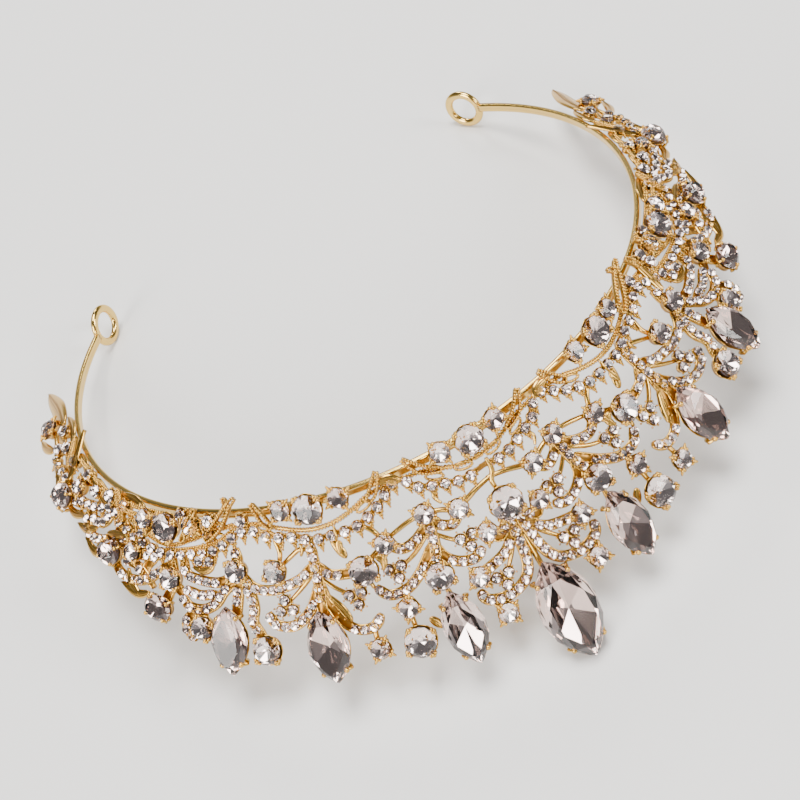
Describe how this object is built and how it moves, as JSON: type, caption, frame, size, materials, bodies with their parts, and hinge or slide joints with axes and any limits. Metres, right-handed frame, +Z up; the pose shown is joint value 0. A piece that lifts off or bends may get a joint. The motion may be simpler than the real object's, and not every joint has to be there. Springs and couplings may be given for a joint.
{
  "type": "rhinestone crown",
  "caption": "Openwork gold crown with marquise and round clear stones on a wire head ring with an end loop each side, lying peaks down.",
  "frame": {"origin": "middle of the footprint on the surface that the crown lies on", "axes": "+X from the left end loop to the right one seen from the peaks, +Y from the peaks to the loops, +Z up from the surface"},
  "size_m": [0.164, 0.1528, 0.0416],
  "materials": {
    "gold_wire": "warm yellow gold plating, polished, with fine draw lines",
    "gold_cast": "warm yellow gold plating, beaded edges, orange-brown in the recesses",
    "clear_stone": "clear cut glass, polished facets",
    "foiled_stone": "clear cut glass with a silver foil back"
  },
  "bodies": {
    "root": {"headband": "gold_wire", "filigree": "gold_cast", "marquise_0": "clear_stone", "centre_round": "clear_stone", "band_round_0": "clear_stone", "marquise_1_left": "clear_stone", "marquise_1_right": "clear_stone", "marquise_2_left": "clear_stone", "marquise_2_right": "clear_stone", "marquise_3_left": "clear_stone", "marquise_3_right": "clear_stone", "oval_1_left": "clear_stone", "oval_1_right": "clear_stone", "oval_2_left": "clear_stone", "oval_2_right": "clear_stone", "oval_3_left": "clear_stone", "oval_3_right": "clear_stone", "band_round_1_left": "clear_stone", "band_round_1_right": "clear_stone", "band_round_2_left": "clear_stone", "band_round_2_right": "clear_stone", "round_1_left": "clear_stone", "round_1_right": "clear_stone", "round_2_left": "clear_stone", "round_2_right": "clear_stone", "round_3_left": "clear_stone", "round_3_right": "clear_stone", "round_4_left": "clear_stone", "round_4_right": "clear_stone", "round_5_left": "clear_stone", "round_5_right": "clear_stone", "round_6_left": "clear_stone", "round_6_right": "clear_stone", "round_7_left": "clear_stone", "round_7_right": "clear_stone", "round_8_left": "clear_stone", "round_8_right": "clear_stone", "accents_left": "foiled_stone", "accents_right": "foiled_stone", "pave_left": "foiled_stone", "pave_right": "foiled_stone"}
  },
  "joints": []
}
